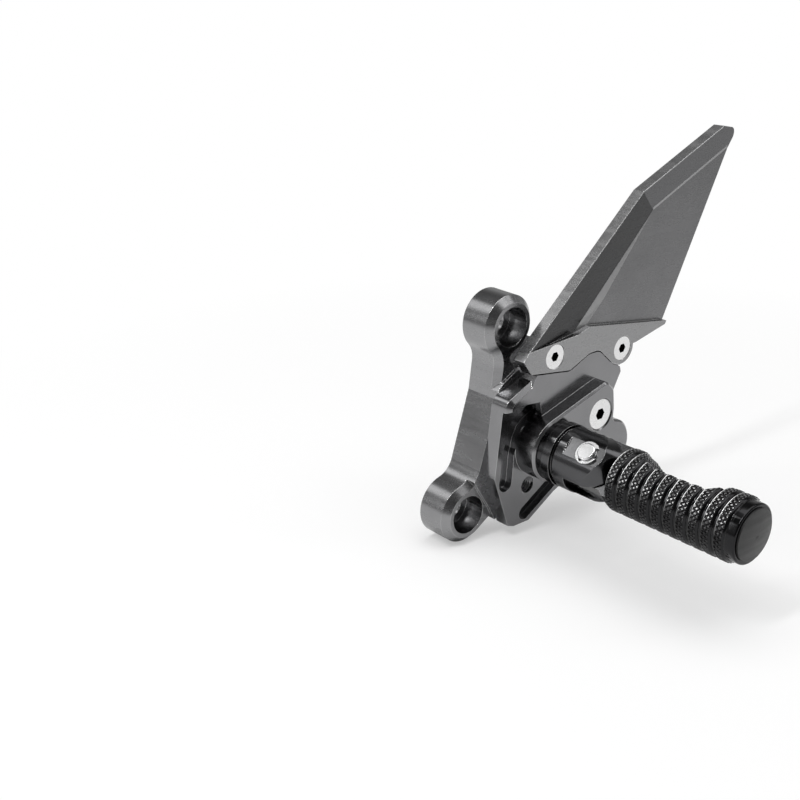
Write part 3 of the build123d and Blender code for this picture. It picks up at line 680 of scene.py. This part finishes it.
def guard_creases():
    """The narrow flats that the cutter leaves along both creases, which carry a painted highlight."""
    mesh = bmesh.new()
    knee, low_end = [on_bevel(corner, HEEL, KNEE) for corner in (KNEE_CREASE, LOW_END)]
    web = -GUARD_TOP + WEB_DEPTH - TRIM_LIFT
    low, middle = [Vector((corner.x, web, corner.y)) for corner in (LOW_CREASE, MIDDLE_CREASE)]
    plate(mesh, [knee, low_end, middle], CREASE_DEPTH)
    plate(mesh, [low_end, low, middle], CREASE_DEPTH)
    outward = -bevel_slope(KNEE, TIP)[0] * CREASE_WIDTH
    high = [KNEE_CREASE, CREASE_END, CREASE_END + outward, KNEE_CREASE + outward]
    plate(mesh, [on_bevel(corner, KNEE, TIP) for corner in high], TRIM_DEPTH)
    fixed_piece(mesh, "guard_creases", crease_highlight_metal)


def guard_teeth():
    """The serrated foot of the long bevel, one tooth for each pass of the cutter."""
    mesh = bmesh.new()
    stride = (LOW_END - HEEL) / TOOTH_COUNT
    reach = bevel_slope(HEEL, KNEE)[0] * -TOOTH_REACH
    for tooth in range(TOOTH_FIRST, TOOTH_COUNT):
        start = HEEL + stride * tooth
        corners = [start, start + stride, start + stride / 2 + reach]
        plate(mesh, [Vector((corner.x, -GUARD_TOP, corner.y)) for corner in corners], TOOTH_DEPTH)
    fixed_piece(mesh, "guard_teeth", guard_metal)


def pivot_thread():
    """A ridge that winds down the wall of the lever's pivot hole."""
    mesh = bmesh.new()
    rows = []
    for step in range(THREAD_TURNS * THREAD_STEPS + 1):
        angle = 2 * math.pi * step / THREAD_STEPS
        level = THREAD_TOP - THREAD_PITCH * (THREAD_LEAD + step / THREAD_STEPS)
        row = []
        for inset, rise in THREAD_PROFILE:
            radius = THREAD_RADIUS - inset * THREAD_DEPTH
            across = THREAD_CENTRE.x + radius * math.cos(angle)
            up = THREAD_CENTRE.y + radius * math.sin(angle)
            row.append(mesh.verts.new((across, -level - rise * THREAD_PITCH, up)))
        rows.append(row)
    skin(mesh, rows)
    mesh.faces.new(rows[0])
    mesh.faces.new(rows[-1][::-1])
    fixed_piece(mesh, "pivot_thread", thread_metal)


guard_edge()
guard_creases()
guard_teeth()
pivot_thread()


# Studio

CENTRE = Vector((0.05, -0.05, 0.06))

# Lamps as name, direction, distance, width, height and radiance
LAMPS = [
    ("overhead", (0.15, -0.1, 1.0), 1.25, 1.3, 1.3, 1.6),
    ("left", (-0.57, 0.05, 0.82), 1.2, 0.11, 0.45, 28.0),
    ("back_left", (-0.36, 0.70, 0.60), 1.2, 0.42, 0.42, 1.8),
    ("low_left", (-0.78, 0.48, 0.39), 1.2, 0.12, 0.5, 5.0),
    ("front_right", (0.62, -0.45, 0.64), 1.3, 0.4, 0.4, 2.0),
]

# Light of the room from below to above, as place and level, and how it dims toward the front left
SKY = [(0.40, 0.25), (0.52, 0.32), (0.62, 0.5), (0.70, 0.36), (0.80, 0.13), (0.90, 0.2), (0.98, 0.9)]
DIM_HEADING = (-0.65, -0.76, 0.0)
DIM_BAND = (0.3, 0.9)
DIM_LEVEL = 0.35

# Floor, and how it brightens for the camera with the distance from the object
FLOOR = cad_low[2] - 0.3 * MM
FLOOR_REACH = 6.0
FLOOR_SHADE = 0.95
FLOOR_ROUGHNESS = 0.9
FLOOR_NEAR = 0.16
FLOOR_FAR = 0.42
FLOOR_GLOW = 0.4

# Camera at the photograph's place
CAMERA_PLACE = (-0.34495, -0.36648, 0.26178)
CAMERA_DOWN = 22.8
CAMERA_HEADING = -41.03
CAMERA_LENS = 55.8
CAMERA_SENSOR = 36.0
CAMERA_CLIP = (0.01, 50.0)


def softbox(name, direction, distance, width, height, radiance):
    """A soft lamp that faces the object, with the brightness of its face."""
    data = bpy.data.lights.new(name, "AREA")
    data.shape = "RECTANGLE"
    data.size = width
    data.size_y = height
    data.energy = radiance * math.pi * width * height
    made = bpy.data.objects.new(name, data)
    made.location = CENTRE + Vector(direction).normalized() * distance
    made.rotation_euler = (-Vector(direction)).to_track_quat("-Z", "Y").to_euler()
    made.visible_camera = False
    bpy.context.scene.collection.objects.link(made)


def room():
    """The world: a soft grey room for reflections, and white for the camera."""
    world = bpy.data.worlds.new("studio")
    bpy.context.scene.world = world
    world.use_nodes = True
    tree = world.node_tree
    background = tree.nodes["Background"]
    background.inputs["Color"].default_value = (1, 1, 1, 1)
    heading = tree.nodes.new("ShaderNodeTexCoord").outputs["Generated"]
    ramp = tree.nodes.new("ShaderNodeValToRGB")
    while len(ramp.color_ramp.elements) < len(SKY):
        ramp.color_ramp.elements.new(0.5)
    for element, (position, level) in zip(ramp.color_ramp.elements, SKY):
        element.position = position
        element.color = (level, level, level, 1)
    upward = parts_of(tree, heading)["Z"]
    link(tree, spread(tree, upward, 0.0, 1.0, (-1.0, 1.0)), ramp.inputs["Fac"])
    dimmed = spread(tree, dot(tree, heading, DIM_HEADING), 1.0, DIM_LEVEL, DIM_BAND)
    light = arithmetic(tree, "MULTIPLY", ramp.outputs["Color"], dimmed)
    path = tree.nodes.new("ShaderNodeLightPath")
    strength = arithmetic(tree, "MAXIMUM", light, path.outputs["Is Camera Ray"])
    link(tree, strength, background.inputs["Strength"])


def pale_floor():
    """A plain pale floor that fades to white for the camera and keeps the object's shadow."""
    data = bpy.data.meshes.new("floor")
    corners = [(-1, -1), (1, -1), (1, 1), (-1, 1)]
    data.from_pydata([(x * FLOOR_REACH, y * FLOOR_REACH, FLOOR) for x, y in corners], [], [(0, 1, 2, 3)])
    floor = bpy.data.objects.new("floor", data)
    bpy.context.scene.collection.objects.link(floor)
    paint, tree, shader = material("floor_paint")
    shader.inputs["Base Color"].default_value = (*grey(FLOOR_SHADE), 1)
    shader.inputs["Roughness"].default_value = FLOOR_ROUGHNESS
    data.materials.append(paint)
    glow = tree.nodes.new("ShaderNodeEmission")
    blend = tree.nodes.new("ShaderNodeMixShader")
    path = tree.nodes.new("ShaderNodeLightPath")
    place = tree.nodes.new("ShaderNodeTexCoord")
    middle = node(tree, "ShaderNodeMapping", Location=-CENTRE)
    link(tree, place.outputs["Object"], middle.inputs["Vector"])
    away = tree.nodes.new("ShaderNodeVectorMath")
    away.operation = "LENGTH"
    link(tree, middle.outputs["Vector"], away.inputs[0])
    share = spread(tree, away.outputs["Value"], FLOOR_GLOW, 1.0, (FLOOR_NEAR, FLOOR_FAR))
    amount = arithmetic(tree, "MULTIPLY", path.outputs["Is Camera Ray"], share)
    link(tree, amount, blend.inputs[0])
    link(tree, shader.outputs[0], blend.inputs[1])
    link(tree, glow.outputs[0], blend.inputs[2])
    link(tree, blend.outputs[0], tree.nodes["Material Output"].inputs["Surface"])


for lamp in LAMPS:
    softbox(*lamp)
room()
pale_floor()

camera_data = bpy.data.cameras.new("camera")
camera_data.lens = CAMERA_LENS
camera_data.sensor_width = CAMERA_SENSOR
camera_data.clip_start, camera_data.clip_end = CAMERA_CLIP
camera = bpy.data.objects.new("camera", camera_data)
camera.location = CAMERA_PLACE
camera.rotation_euler = (math.radians(90 - CAMERA_DOWN), 0, math.radians(CAMERA_HEADING))
bpy.context.scene.collection.objects.link(camera)
bpy.context.scene.camera = camera
bpy.context.scene.view_settings.view_transform = "Standard"
